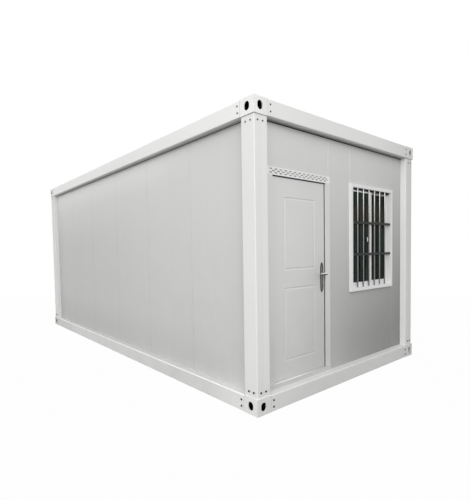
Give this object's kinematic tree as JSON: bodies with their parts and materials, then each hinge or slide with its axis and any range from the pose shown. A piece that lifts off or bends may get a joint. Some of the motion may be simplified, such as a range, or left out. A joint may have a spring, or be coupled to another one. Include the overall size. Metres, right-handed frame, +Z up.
{
  "type": "container house",
  "caption": "Flat-pack container cabin: white steel frame with corner fittings, panel walls, a hinged steel door under a vent head and a barred sliding window.",
  "frame": {"origin": "on the ground under the middle of the cabin's footprint", "axes": "+Z up, +Y from the door end to the back along the length, +X to the right when facing the door end"},
  "size_m": [3, 5.95, 2.8],
  "materials": {
    "frame_paint": "satin white paint on folded steel",
    "galvanised_steel": "dull zinc",
    "floor_board": "matt board",
    "ceiling_paint": "satin white paint",
    "roof_paint": "satin white paint on ribbed sheet",
    "wall_paint": "satin grey-white coil coating",
    "door_frame_paint": "satin white paint",
    "seal_rubber": "matt black rubber",
    "door_paint": "satin white paint on pressed steel",
    "lock_steel": "brushed dark steel",
    "hinge_steel": "zinc-plated steel",
    "window_plastic": "white window profile",
    "window_glazing": "dark green tinted glass",
    "grille_steel": "light steel bars, dark crossbars"
  },
  "bodies": {
    "cabin": {"front_left_post": "frame_paint", "front_right_post": "frame_paint", "back_left_post": "frame_paint", "back_right_post": "frame_paint", "left_floor_beam": "frame_paint", "right_floor_beam": "frame_paint", "front_floor_beam": "frame_paint", "back_floor_beam": "frame_paint", "left_roof_beam": "frame_paint", "right_roof_beam": "frame_paint", "front_roof_beam": "frame_paint", "back_roof_beam": "frame_paint", "floor_fittings": "frame_paint", "roof_fittings": "frame_paint", "floor_joists": "galvanised_steel", "floor_deck": "floor_board", "ceiling": "ceiling_paint", "corner_trims": "ceiling_paint", "roof_sheets": "roof_paint", "ridge_cap": "roof_paint", "left_wall": "wall_paint", "right_wall": "wall_paint", "back_wall": "wall_paint", "front_wall_hinge_side": "wall_paint", "front_wall_over_door": "wall_paint", "front_wall_middle": "wall_paint", "front_wall_under_window": "wall_paint", "front_wall_over_window": "wall_paint", "front_wall_right": "wall_paint", "hinge_jamb": "door_frame_paint", "lock_jamb": "door_frame_paint", "vent_head": "door_frame_paint", "threshold": "door_frame_paint", "door_seal": "seal_rubber", "frame_hinges": "hinge_steel", "window_jambs": "window_plastic", "window_rails": "window_plastic", "window_sashes": "window_plastic", "window_glass": "window_glazing", "window_grille": "grille_steel"},
    "door": {"door_leaf": "door_paint", "lock_plates": "lock_steel", "leaf_hinges": "hinge_steel"},
    "lever": {"lever": "lock_steel"}
  },
  "joints": [
    {"name": "door_hinge", "type": "hinge", "parent": "cabin", "child": "door", "pos_m": [-1.1995, -2.814, 1.18], "axis": [0, 0, 1], "range_deg": [0, 90]},
    {"name": "lever_turn", "type": "hinge", "parent": "door", "child": "lever", "pos_m": [-0.417, -2.852, 1.213], "axis": [0, -1, 0], "range_deg": [0, 40], "stiffness_Nm_per_rad": 1.2, "springref_deg": -20.05}
  ]
}
